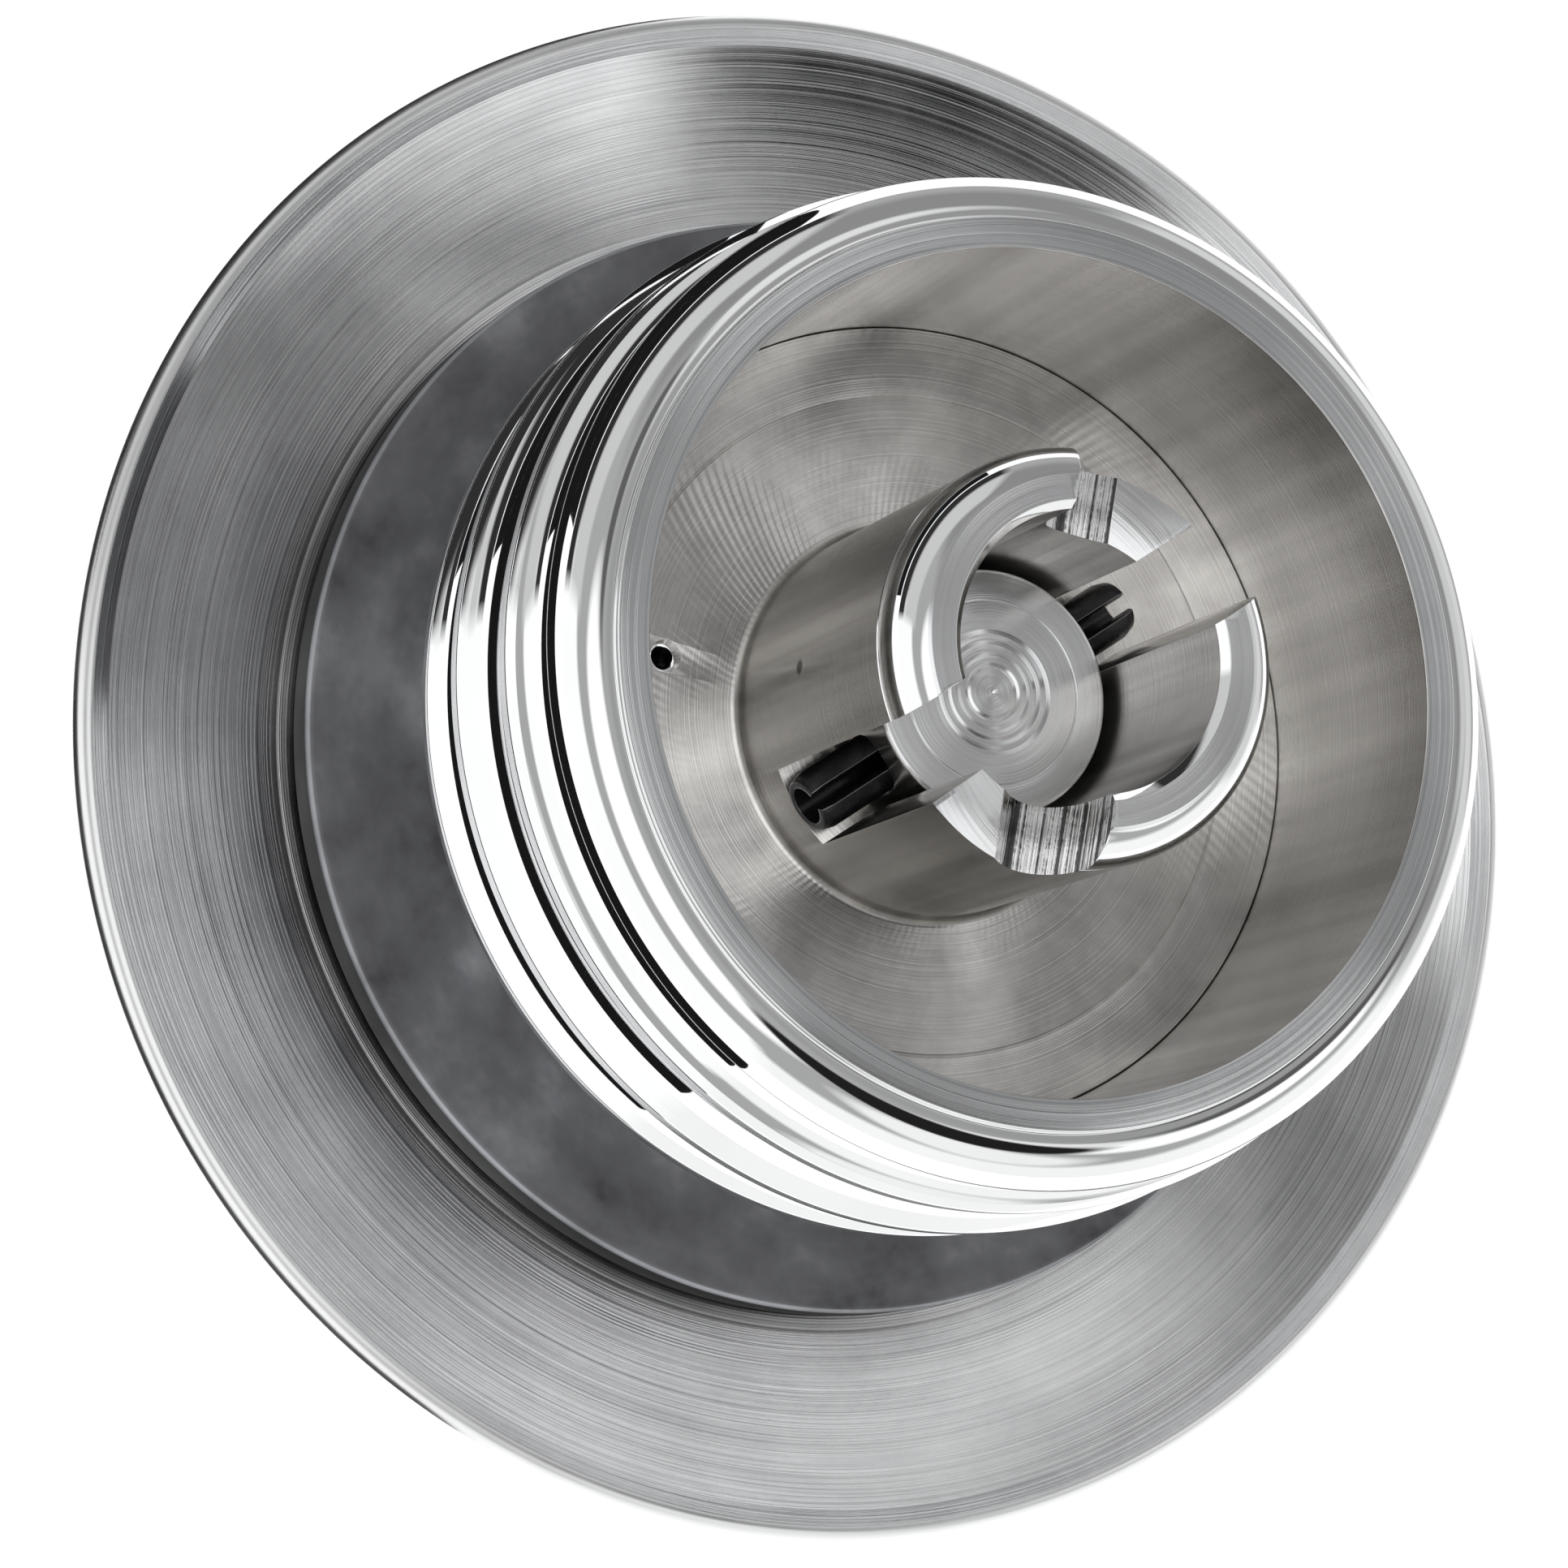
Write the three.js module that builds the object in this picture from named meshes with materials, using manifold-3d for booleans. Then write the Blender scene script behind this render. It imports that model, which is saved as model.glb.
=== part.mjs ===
// Bayonet plunger hub: a dished flange and a ribbed collar around a slotted boss, with a
// spring-returned plunger whose cross pin slides in the boss's slots. Millimetres, +Z towards the
// cup's mouth, origin at the centre of the flat rear face that the hub stands on.
import * as THREE from 'three';
import { mergeVertices } from 'three/addons/utils/BufferGeometryUtils.js';
import Module from 'manifold-3d';

const wasm = await Module();
wasm.setup();

// ---- driving dimensions ---------------------------------------------------------------------
const WIDE_SEG = 56;            // facets round the flange and the collar
const SEG = 40;                 // facets round the other turned pieces
const STEM_SEG = 32;            // facets round the plunger and the pieces on its stem
const SMALL_SEG = 16;           // facets round pins and screws
const GAP = 0.1;                // assembly gap between faces that meet

const LIP_Z = 14;               // height of the middle of the flange's rolled lip
const FLANGE_R = 52.5;
const LIP_R = 1.0;              // radius of the rolled lip
const DISH_FOOT_R = 38.4;       // where the dish meets the flat seat of the washer
const DISH_SAGITTA = 0.3;
const SEAT_Z = LIP_Z - 2.6;
const PLATE_BACK = LIP_Z - 5.6; // rear face of the flange's middle
const BELL_FOOT_R = 32;         // where the flange's rear starts to curve forward

const WASHER_R = 37.5;
const WASHER_TOP = LIP_Z + 1.2;
const GASKET_R = 36.5;
const GASKET_THICK = 0.5;

const SPIGOT_R = 24;            // rear spigot of the collar
const SPIGOT_END = 1.6;
const NECK_R = 27;              // neck between the seat washer and the first rib
const WELL_R = 20.6;            // rear well that the button slides in
const CUP_R = 26.4;             // inside of the cup
const RIM_R = 28.4;             // outside of the flat rim face
const RIM_Z = LIP_Z + 33.6;
const FLOOR_Z = LIP_Z + 14.6;   // cup floor
const FLOOR_THICK = 2.9;
const SHOULDER_Z = FLOOR_Z - FLOOR_THICK - GAP;

const RIBS = [                  // lower edge of each rib: radius, height
  [33.2, LIP_Z + 11.7],
  [33.45, LIP_Z + 18.1],
  [32.7, LIP_Z + 24.9],
  [31.75, LIP_Z + 30.5],
];
const RIB_LAND = 1.0;           // width of a rib's flat land
const RIB_BEVEL = 0.5;
const SCALLOP_DEPTH = 1.2;      // depth of the groove between two ribs
const NECK_FLARE = 3.4;         // height over which the neck widens to the first rib
const NECK_SAGITTA = 1.2;
const BEAD_SAGITTA = 0.82;      // roundness of the bead under the rim
const RIM_STEP = 0.55;          // height of the rim face above the bead
const RIM_LEDGE = 0.3;          // flat between the bead and the rim's step

const BOSS_R = 12.9;
const BOSS_FILLET = 0.7;
const ROUND_SAGITTA = 0.75;     // roundness of the boss's mouth
const BOSS_TOP = LIP_Z + 39.25;
const BOSS_ROUND_Z = LIP_Z + 36.1; // where the mouth's outer round starts
const BOSS_FACE_R = 10.8;       // outside of the flat mouth face
const BORE_R = 8.7;
const BORE_FLOOR = FLOOR_Z + 0.4;
const TAIL_R = 11;              // tail of the boss, behind the cup floor
const TAIL_END = 21.7;

const SLOT_WIDTH = 5.5;
const SLOT_FLOOR = LIP_Z + 18.9;
const NOTCH_ANGLE = 46;         // degrees, anticlockwise from a slot to its notch
const NOTCH_FLOOR = LIP_Z + 33.1;
const RAMP_Z = LIP_Z + 33.6;    // height of the ramp at the notch's middle
const RAMP_SLOPE = 13;          // degrees

const VENT_R = 0.65;
const VENT_SINK_R = 1.05;
const VENT_PLACE_R = 18.2;
const VENT_ANGLE = -133;

const PIN_R = 2.0;
const PIN_WALL = 0.75;
const PIN_SLIT = 1.1;
const PIN_LENGTH = 26.4;
const PIN_Z = SLOT_FLOOR + PIN_R + 0.05;
const POST_R = 7.95;
const POST_FACE = LIP_Z + 25.05;
const POST_FOOT = 30.6;
const POST_EDGE = 0.3;          // edge break on the plunger
const STEM_R = 5;
const STEM_CLEARANCE = 0.06;    // running clearance of the stem in its bush
const BUSH_R = 7.4;
const BUSH_HEAD = 0.8;          // thickness of the bush's head
const SEAL_THICK = 1.6;
const BUFFER_R = 7.3;
const BUFFER_THICK = 1.1;

const BUTTON_R = 20.4;
const BUTTON_FACE = 0.8;        // button stands back from the rear face
const BUTTON_TOP = 4.3;
const BUTTON_WALL_TOP = 5.1;
const BUTTON_RECESS_R = 19;
const BUTTON_LAND_R = 17.6;     // inside of the button's flat outer ring
const RING_GROOVE = [1.5, 2.6]; // O-ring groove, above the button's face
const RING_GROOVE_DEPTH = 1.1;
const O_RING_R = 0.45;
const SCREW_R = 2;
const SCREW_HEAD_R = 3.6;
const SCREW_HEAD_LOW = 1.35;
const SCREW_HEAD_TOP = 2.7;
const SCREW_DEPTH = 7.5;        // length of the screw inside the stem
const HEX_R = 1.45;
const LOCK_WASHER_R = 3.5;
const LOCK_WASHER_TOP = 3.1;

const SPRING_WIRE_R = 0.75;
const SPRING_TURNS = 4;
const SPRING_FOOT_R = 17.2;
const SPRING_HEAD_R = 12.9;
const SPRING_SEAT_R = 15.2;
const SPRING_SEAT_THICK = 0.6;

const NUT_R = 29.5;
const NUT_TOP = 7.3;
const NUT_EDGE = 1.2;
const NUT_SLOTS = 6;
const NUT_SLOT_WIDTH = 5;
const NUT_SLOT_TOP = 4.2;
const NUT_WASHER_R = 28.2;
const GRUB_R = 1.5;
const GRUB_Z = NUT_TOP - 2.2;
const GRUB_ANGLES = [30, 150, 270];
const GRUB_SOCKET_R = 0.85;

const DOWEL_R = 1.2;
const DOWEL_PLACE_R = 25.6;
const DOWEL_LOW = 8.6;
const DOWEL_TOP = WASHER_TOP + 2.4;

// ---- finishes ---------------------------------------------------------------------------------
const FINISH = {
  chrome: [0xd8dadd, 0.08, 1.0],
  turned: [0xb9babd, 0.28, 1.0],
  nickel: [0xbdb8b0, 0.32, 1.0],
  lead: [0x55565b, 0.55, 0.7],
  black: [0x1b1b1d, 0.4, 0.6],
  bronze: [0xa9783f, 0.4, 1.0],
  steel: [0x9a9da1, 0.35, 1.0],
  rubber: [0x161616, 0.85, 0.0],
  fibre: [0x7a4a3a, 0.9, 0.0],
};

const hub = new THREE.Group();

function addPiece(name, geometry, finish, parent = hub) {
  const [color, roughness, metalness] = FINISH[finish];
  const material = new THREE.MeshStandardMaterial({ color, roughness, metalness });
  const mesh = new THREE.Mesh(geometry, material);
  mesh.name = name;
  parent.add(mesh);
  return mesh;
}

// ---- solids -----------------------------------------------------------------------------------
function signedVolume(position, index) {
  const [a, b, c] = [0, 1, 2].map(() => new THREE.Vector3());
  let volume = 0;
  for (let i = 0; i < index.length; i += 3) {
    a.fromArray(position, 3 * index[i]);
    b.fromArray(position, 3 * index[i + 1]);
    c.fromArray(position, 3 * index[i + 2]);
    volume += a.dot(b.cross(c)) / 6;
  }
  return volume;
}

// Turns a closed geometry into a solid, with its faces pointing out.
function solidOf(geometry) {
  const bare = geometry.clone();
  bare.deleteAttribute('normal');
  bare.deleteAttribute('uv');
  const merged = mergeVertices(bare, 1e-4);
  const position = merged.attributes.position.array;
  const kept = [];
  for (let i = 0; i < merged.index.count; i += 3) {
    const [a, b, c] = [0, 1, 2].map((k) => merged.index.array[i + k]);
    if (a !== b && b !== c && c !== a) kept.push(a, b, c);
  }
  if (signedVolume(position, kept) < 0) kept.reverse();
  const vertProperties = Float32Array.from(position);
  const triVerts = Uint32Array.from(kept);
  return new wasm.Manifold(new wasm.Mesh({ numProp: 3, vertProperties, triVerts }));
}

function geometryOf(solid) {
  const { vertProperties, triVerts, numProp } = solid.getMesh();
  const position = new Float32Array((vertProperties.length / numProp) * 3);
  for (let i = 0; i < position.length / 3; i += 1) {
    position.set(vertProperties.subarray(i * numProp, i * numProp + 3), 3 * i);
  }
  const geometry = new THREE.BufferGeometry();
  geometry.setAttribute('position', new THREE.BufferAttribute(position, 3));
  geometry.setIndex(new THREE.BufferAttribute(Uint32Array.from(triVerts), 1));
  geometry.computeVertexNormals();
  return geometry;
}

// Revolves an outline of [radius, height] points, which closes on itself, about the Z axis.
function turned(outline, segments = SEG) {
  const points = [...outline, outline[0]].map(([r, z]) => new THREE.Vector2(r, z));
  return solidOf(new THREE.LatheGeometry(points, segments).rotateX(Math.PI / 2));
}

function ring(inner, outer, low, high, segments = SEG) {
  return turned([[inner, low], [outer, low], [outer, high], [inner, high]], segments);
}

function rod(radius, low, high, segments = SMALL_SEG) {
  const bar = new THREE.CylinderGeometry(radius, radius, high - low, segments);
  return solidOf(bar.rotateX(Math.PI / 2).translate(0, 0, (low + high) / 2));
}

function block(width, depth, low, high) {
  return solidOf(new THREE.BoxGeometry(width, depth, high - low).translate(0, 0, (low + high) / 2));
}

// Points of an arc between two outline points, bulging by sagitta to the left of the way along it.
function arc(from, to, sagitta, steps) {
  const [dr, dz] = [to[0] - from[0], to[1] - from[1]];
  const chord = Math.hypot(dr, dz);
  const radius = (chord * chord / 4 + sagitta * sagitta) / (2 * Math.abs(sagitta));
  const side = Math.sign(sagitta);
  const back = radius - Math.abs(sagitta);
  const left = [-dz / chord * side, dr / chord * side];
  const centre = [from[0] + dr / 2 - left[0] * back, from[1] + dz / 2 - left[1] * back];
  const start = Math.atan2(from[1] - centre[1], from[0] - centre[0]);
  const sweep = -2 * side * Math.asin(Math.min(1, chord / (2 * radius)));
  const points = [];
  for (let i = 1; i < steps; i += 1) {
    const turn = start + sweep * i / steps;
    points.push([centre[0] + radius * Math.cos(turn), centre[1] + radius * Math.sin(turn)]);
  }
  return points;
}

const atAngle = (solid, radius, degrees) => solid.translate([radius, 0, 0]).rotate([0, 0, degrees]);

// ---- flange, seat washer and gasket --------------------------------------------------------------
function dowelHole(low, high) {
  return atAngle(rod(DOWEL_R + GAP, low, high), DOWEL_PLACE_R, 0);
}

function flange() {
  const lipTop = [FLANGE_R - LIP_R, LIP_Z + LIP_R];
  const lipEdge = [FLANGE_R, LIP_Z];
  const lipFoot = [FLANGE_R - LIP_R, LIP_Z - LIP_R];
  const dishRim = [FLANGE_R - 2.2, LIP_Z + 0.2];
  const dishFoot = [DISH_FOOT_R, SEAT_Z];
  const bellRim = [FLANGE_R - 2.4, LIP_Z - 1.6];
  const bellFoot = [BELL_FOOT_R, PLATE_BACK];
  const outline = [
    [SPIGOT_R + GAP, PLATE_BACK],
    bellFoot,
    ...arc(bellFoot, bellRim, -1.0, 3),
    bellRim,
    lipFoot,
    ...arc(lipFoot, lipEdge, -0.29, 3),
    lipEdge,
    ...arc(lipEdge, lipTop, -0.29, 3),
    lipTop,
    dishRim,
    ...arc(dishRim, dishFoot, DISH_SAGITTA, 4),
    dishFoot,
    [SPIGOT_R + GAP, SEAT_Z],
  ];
  return turned(outline, WIDE_SEG).subtract(dowelHole(PLATE_BACK - 1, SEAT_Z + 1));
}

function seatWasher() {
  const low = SEAT_Z + GASKET_THICK + 2 * GAP;
  const edgeLow = [WASHER_R, WASHER_TOP - 0.9];
  const edgeHigh = [WASHER_R - 0.9, WASHER_TOP];
  const outline = [
    [SPIGOT_R + GAP, low],
    [WASHER_R, low],
    edgeLow,
    ...arc(edgeLow, edgeHigh, -0.26, 3),
    edgeHigh,
    [SPIGOT_R + GAP, WASHER_TOP],
  ];
  return turned(outline).subtract(dowelHole(low - 1, WASHER_TOP + 1));
}

function gasket() {
  const low = SEAT_Z + GAP;
  const sheet = ring(SPIGOT_R + GAP, GASKET_R, low, low + GASKET_THICK);
  return sheet.subtract(dowelHole(low - 1, low + 1));
}

// ---- ribbed collar --------------------------------------------------------------------------------
function collarOutline() {
  const neckLow = WASHER_TOP + GAP;
  const neckTop = [NECK_R, RIBS[0][1] - NECK_FLARE];
  const outline = [
    [WELL_R, SPIGOT_END],
    [SPIGOT_R - 0.8, SPIGOT_END],
    [SPIGOT_R, SPIGOT_END + 0.8],
    [SPIGOT_R, neckLow],
    [NECK_R, neckLow],
    neckTop,
    ...arc(neckTop, RIBS[0], NECK_SAGITTA, 3),
  ];
  RIBS.slice(0, -1).forEach(([radius, low], i) => {
    const groove = [radius - RIB_BEVEL, low + RIB_LAND + RIB_BEVEL];
    outline.push([radius, low], [radius, low + RIB_LAND], groove);
    outline.push(...arc(groove, RIBS[i + 1], SCALLOP_DEPTH, 4));
  });
  const beadLow = RIBS[RIBS.length - 1];
  const beadTop = [RIM_R + RIM_LEDGE, RIM_Z - RIM_STEP];
  outline.push(beadLow, ...arc(beadLow, beadTop, -BEAD_SAGITTA, 5), beadTop);
  outline.push([RIM_R, RIM_Z - RIM_STEP], [RIM_R, RIM_Z], [CUP_R, RIM_Z]);
  outline.push([CUP_R, SHOULDER_Z], [WELL_R, SHOULDER_Z]);
  return outline;
}

function ribbedCollar() {
  const blindHole = dowelHole(WASHER_TOP - 1, DOWEL_TOP + 0.2);
  return turned(collarOutline(), WIDE_SEG).subtract(blindHole);
}

// ---- bayonet boss ---------------------------------------------------------------------------------
// The notch runs along +X here, and the slot that it belongs to lies NOTCH_ANGLE clockwise of it.
function notchCutter() {
  const reach = 20;
  const height = 12;
  const axisZ = NOTCH_FLOOR + SLOT_WIDTH / 2;
  const round = rod(SLOT_WIDTH / 2, 0, reach).rotate([0, 90, 0]).translate([0, 0, axisZ]);
  const above = block(reach, SLOT_WIDTH, axisZ, axisZ + height).translate([reach / 2, 0, 0]);
  const slotSide = THREE.MathUtils.degToRad(-NOTCH_ANGLE);
  const wedge = new THREE.Shape();
  wedge.moveTo(0, 0);
  wedge.lineTo(2 * reach * Math.cos(slotSide), 2 * reach * Math.sin(slotSide));
  wedge.lineTo(2 * reach, 0);
  const sector = solidOf(new THREE.ExtrudeGeometry(wedge, { depth: 3 * height, bevelEnabled: false }));
  const wide = block(2 * reach, 2 * reach, 0, height).translate([reach, -reach, 0]);
  const ramp = wide.rotate([-RAMP_SLOPE, 0, 0]).translate([0, 0, RAMP_Z]);
  return round.add(above).add(sector.translate([0, 0, NOTCH_FLOOR - height]).intersect(ramp));
}

function bossBlank() {
  const filletTop = [BOSS_R, FLOOR_Z + BOSS_FILLET];
  const filletFoot = [BOSS_R + BOSS_FILLET, FLOOR_Z];
  const roundLow = [BOSS_R, BOSS_ROUND_Z];
  const roundTop = [BOSS_FACE_R, BOSS_TOP];
  const edge = CUP_R - 0.05;
  const outline = [
    [BUSH_R + GAP / 2, TAIL_END],
    [TAIL_R, TAIL_END],
    [TAIL_R, FLOOR_Z - FLOOR_THICK],
    [edge, FLOOR_Z - FLOOR_THICK],
    [edge, FLOOR_Z],
    filletFoot,
    ...arc(filletFoot, filletTop, 0.29 * BOSS_FILLET, 3),
    filletTop,
    roundLow,
    ...arc(roundLow, roundTop, -ROUND_SAGITTA, 5),
    roundTop,
    [BORE_R + 0.5, BOSS_TOP],
    [BORE_R, BOSS_TOP - 0.5],
    [BORE_R, BORE_FLOOR],
    [BUSH_R + GAP / 2, BORE_FLOOR],
  ];
  return turned(outline);
}

function bayonetBoss() {
  const slots = block(SLOT_WIDTH, 4 * BOSS_R, SLOT_FLOOR, BOSS_TOP + 1);
  const notch = notchCutter();
  const notches = [-90, 90].map((slotAngle) => notch.rotate([0, 0, slotAngle + NOTCH_ANGLE]));
  const drill = rod(VENT_R, FLOOR_Z - FLOOR_THICK - 1, FLOOR_Z + 1, 16);
  const sinkLow = FLOOR_Z - (VENT_SINK_R - VENT_R);
  const sinkTop = VENT_SINK_R + 0.4;
  const sink = new THREE.CylinderGeometry(sinkTop, VENT_R, sinkTop - VENT_R, 16);
  sink.rotateX(Math.PI / 2).translate(0, 0, sinkLow + (sinkTop - VENT_R) / 2);
  const vent = atAngle(drill.add(solidOf(sink)), VENT_PLACE_R, VENT_ANGLE);
  return bossBlank().subtract(slots).subtract(notches[0]).subtract(notches[1]).subtract(vent);
}

// ---- plunger and what it carries ------------------------------------------------------------------
const STEM_END = BUTTON_TOP + GAP;

function plunger() {
  const outline = [
    [0, STEM_END],
    [STEM_R - POST_EDGE, STEM_END],
    [STEM_R, STEM_END + POST_EDGE],
    [STEM_R, POST_FOOT],
    [POST_R - POST_EDGE, POST_FOOT],
    [POST_R, POST_FOOT + POST_EDGE],
    [POST_R, POST_FACE - POST_EDGE],
    [POST_R - POST_EDGE, POST_FACE],
    [0, POST_FACE],
  ];
  const pinHole = rod(PIN_R + 0.06, -2 * POST_R, 2 * POST_R).rotate([90, 0, 0]);
  const tapped = rod(SCREW_R + GAP, STEM_END - 1, STEM_END + SCREW_DEPTH + 1.5);
  return turned(outline, STEM_SEG).subtract(pinHole.translate([0, 0, PIN_Z])).subtract(tapped);
}

// A slotted spring pin: a C-shaped wall, with its slit on top.
function crossPin() {
  const half = Math.asin(PIN_SLIT / 2 / (PIN_R - PIN_WALL / 2));
  const start = Math.PI / 2 + half;
  const end = Math.PI / 2 - half + 2 * Math.PI;
  const wall = new THREE.Shape();
  wall.absarc(0, 0, PIN_R, start, end, false);
  wall.absarc(0, 0, PIN_R - PIN_WALL, end, start, true);
  const options = { depth: PIN_LENGTH, bevelEnabled: false, curveSegments: 18 };
  const pin = new THREE.ExtrudeGeometry(wall, options).rotateX(Math.PI / 2);
  return solidOf(pin.translate(0, PIN_LENGTH / 2, PIN_Z));
}

function pushButton() {
  const groove = RING_GROOVE.map((rise) => BUTTON_FACE + rise);
  const outline = [
    [SCREW_R + GAP, BUTTON_FACE + 2.4],
    [SCREW_HEAD_R + 1, BUTTON_FACE + 2.4],
    [SCREW_HEAD_R + 1, BUTTON_FACE + 0.9],
    [14, BUTTON_FACE + 0.45],
    [BUTTON_LAND_R, BUTTON_FACE],
    [BUTTON_R - 0.9, BUTTON_FACE],
    [BUTTON_R, BUTTON_FACE + 0.7],
    [BUTTON_R, groove[0]],
    [BUTTON_R - RING_GROOVE_DEPTH, groove[0]],
    [BUTTON_R - RING_GROOVE_DEPTH, groove[1]],
    [BUTTON_R, groove[1]],
    [BUTTON_R, BUTTON_WALL_TOP],
    [BUTTON_RECESS_R, BUTTON_WALL_TOP],
    [BUTTON_RECESS_R, BUTTON_TOP],
    [SCREW_R + GAP, BUTTON_TOP],
  ];
  return turned(outline);
}

// A ring of round section, used for the button's O-ring.
function roundRing(radius, sectionR, z, segments = SEG) {
  const hoop = new THREE.TorusGeometry(radius, sectionR, 6, segments);
  return solidOf(hoop.translate(0, 0, z));
}

function buttonScrew() {
  const outline = [
    [0, SCREW_HEAD_LOW],
    [SCREW_HEAD_R - 0.5, SCREW_HEAD_LOW],
    [SCREW_HEAD_R, SCREW_HEAD_LOW + 0.4],
    [SCREW_HEAD_R, SCREW_HEAD_TOP],
    [SCREW_R, SCREW_HEAD_TOP],
    [SCREW_R, STEM_END + SCREW_DEPTH],
    [0, STEM_END + SCREW_DEPTH],
  ];
  const hexagon = rod(HEX_R, SCREW_HEAD_LOW - 1, SCREW_HEAD_LOW + 1, 6);
  return turned(outline, SMALL_SEG).subtract(hexagon);
}

function coilSpring() {
  const foot = BUTTON_TOP + GAP + SPRING_WIRE_R;
  const head = SHOULDER_Z - SPRING_SEAT_THICK - GAP - SPRING_WIRE_R;
  class ConicalHelix extends THREE.Curve {
    getPoint(t) {
      const turn = 2 * Math.PI * SPRING_TURNS * t;
      const radius = SPRING_FOOT_R + (SPRING_HEAD_R - SPRING_FOOT_R) * t;
      const flat = THREE.MathUtils.smoothstep(t, 0.06, 0.94) * 0.35 + t * 0.65;
      const height = foot + (head - foot) * flat;
      return new THREE.Vector3(radius * Math.cos(turn), radius * Math.sin(turn), height);
    }
  }
  const section = new THREE.Shape();
  section.absarc(0, 0, SPRING_WIRE_R, 0, 2 * Math.PI, false);
  const options = { steps: SPRING_TURNS * 18, extrudePath: new ConicalHelix(), curveSegments: 3 };
  return solidOf(new THREE.ExtrudeGeometry(section, options));
}

// ---- rear ring nut ----------------------------------------------------------------------------------
function ringNut() {
  const outline = [
    [SPIGOT_R + GAP, 0],
    [NUT_R - NUT_EDGE, 0],
    [NUT_R, NUT_EDGE],
    [NUT_R, NUT_TOP],
    [SPIGOT_R + GAP, NUT_TOP],
  ];
  let nut = turned(outline);
  for (let i = 0; i < NUT_SLOTS; i += 1) {
    const slot = block(3, NUT_SLOT_WIDTH, -1, NUT_SLOT_TOP);
    nut = nut.subtract(atAngle(slot, NUT_R + 0.3, i * 360 / NUT_SLOTS));
  }
  for (const degrees of GRUB_ANGLES) {
    const hole = rod(GRUB_R + GAP, SPIGOT_R - 0.5, NUT_R + 1).rotate([0, 90, 0]);
    nut = nut.subtract(hole.translate([0, 0, GRUB_Z]).rotate([0, 0, degrees]));
  }
  return nut;
}

function grubScrew(degrees) {
  const body = rod(GRUB_R, SPIGOT_R + 2 * GAP, NUT_R - 0.5, 16);
  const socket = rod(GRUB_SOCKET_R, NUT_R - 1.8, NUT_R, 6);
  const screw = body.subtract(socket).rotate([0, 90, 0]);
  return screw.translate([0, 0, GRUB_Z]).rotate([0, 0, degrees]);
}

// ---- the assembly -------------------------------------------------------------------------------------
const stemBore = STEM_R + STEM_CLEARANCE;
const bushLow = TAIL_END - BUSH_HEAD;
const sealLow = BORE_FLOOR - SEAL_THICK;
const bufferTop = POST_FOOT - GAP;

function guideBush() {
  const outline = [
    [stemBore, bushLow],
    [TAIL_R - 1.2, bushLow],
    [TAIL_R - 1.2, TAIL_END - GAP],
    [BUSH_R, TAIL_END - GAP],
    [BUSH_R, sealLow - GAP],
    [stemBore, sealLow - GAP],
  ];
  return turned(outline, STEM_SEG);
}

const dowel = atAngle(rod(DOWEL_R, DOWEL_LOW, DOWEL_TOP), DOWEL_PLACE_R, 0);
const nutWasher = ring(SPIGOT_R + GAP, NUT_WASHER_R, NUT_TOP + GAP, PLATE_BACK - GAP);
const stemSeal = ring(stemBore, BUSH_R, sealLow, BORE_FLOOR - GAP, STEM_SEG);
const springSeat = ring(TAIL_R + 0.2, SPRING_SEAT_R, SHOULDER_Z - SPRING_SEAT_THICK, SHOULDER_Z);
const buffer = ring(STEM_R + GAP, BUFFER_R, bufferTop - BUFFER_THICK, bufferTop, STEM_SEG);
const oRingZ = BUTTON_FACE + (RING_GROOVE[0] + RING_GROOVE[1]) / 2;
const oRing = roundRing(BUTTON_R - RING_GROOVE_DEPTH / 2, O_RING_R, oRingZ);
const lockWasher = ring(SCREW_R + GAP, LOCK_WASHER_R, SCREW_HEAD_TOP + GAP, LOCK_WASHER_TOP, SMALL_SEG);

addPiece('flange_dish', geometryOf(flange()), 'turned');
addPiece('seat_washer', geometryOf(seatWasher()), 'lead');
addPiece('seat_gasket', geometryOf(gasket()), 'fibre');
addPiece('ribbed_collar', geometryOf(ribbedCollar()), 'chrome');
addPiece('bayonet_boss', geometryOf(bayonetBoss()), 'nickel');
addPiece('index_dowel', geometryOf(dowel), 'steel');

addPiece('rear_ring_nut', geometryOf(ringNut()), 'nickel');
addPiece('ring_nut_washer', geometryOf(nutWasher), 'steel');
GRUB_ANGLES.forEach((degrees, i) => {
  addPiece(`ring_nut_grub_screw_${i + 1}`, geometryOf(grubScrew(degrees)), 'black');
});

addPiece('guide_bush', geometryOf(guideBush()), 'bronze');
addPiece('stem_seal', geometryOf(stemSeal), 'rubber');
addPiece('spring_seat_washer', geometryOf(springSeat), 'steel');
addPiece('return_spring', geometryOf(coilSpring()), 'steel');

addPiece('plunger', geometryOf(plunger()), 'nickel');
addPiece('cross_pin', geometryOf(crossPin()), 'black');
addPiece('post_buffer', geometryOf(buffer), 'rubber');
addPiece('push_button', geometryOf(pushButton()), 'chrome');
addPiece('button_o_ring', geometryOf(oRing), 'rubber');
addPiece('button_screw', geometryOf(buttonScrew()), 'steel');
addPiece('screw_lock_washer', geometryOf(lockWasher), 'steel');

export default hub;
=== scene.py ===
"""Looks of the bayonet plunger hub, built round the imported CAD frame.

Outlines are lists of (radius, height, corner radius) in millimetres, turned about the Z axis.
"""

import math

import bmesh
import bpy
from mathutils import Matrix, Vector


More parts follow.
